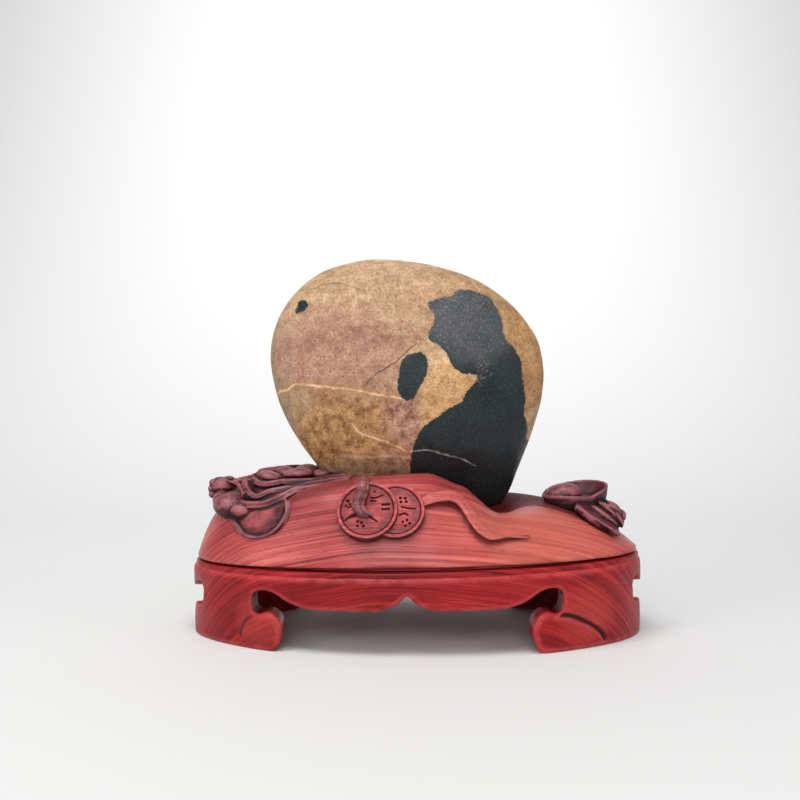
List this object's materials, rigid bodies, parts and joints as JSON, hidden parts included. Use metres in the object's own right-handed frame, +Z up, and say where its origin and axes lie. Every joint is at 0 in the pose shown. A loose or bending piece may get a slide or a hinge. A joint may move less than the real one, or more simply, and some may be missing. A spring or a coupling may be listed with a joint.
{
  "type": "viewing stone on carved wooden stand",
  "caption": "Upright water-worn pebble seated in a domed oval wooden stand with scroll feet and relief carving of leaves, coins and an ingot.",
  "frame": {"origin": "on the surface that the feet stand on, under the middle of the stand", "axes": "+Z up, X along the stand with the ingot at +X, -Y is the front with the coins"},
  "size_m": [0.2208, 0.13, 0.1823],
  "materials": {
    "stone": "water-worn and satin, tan with a large black patch",
    "top_wood": "red-brown hardwood, satin, darker on the carving",
    "base_wood": "deeper red hardwood, satin"
  },
  "bodies": {
    "root": {"stone": "stone", "stand_top": "top_wood", "stand_base": "base_wood"}
  },
  "joints": []
}
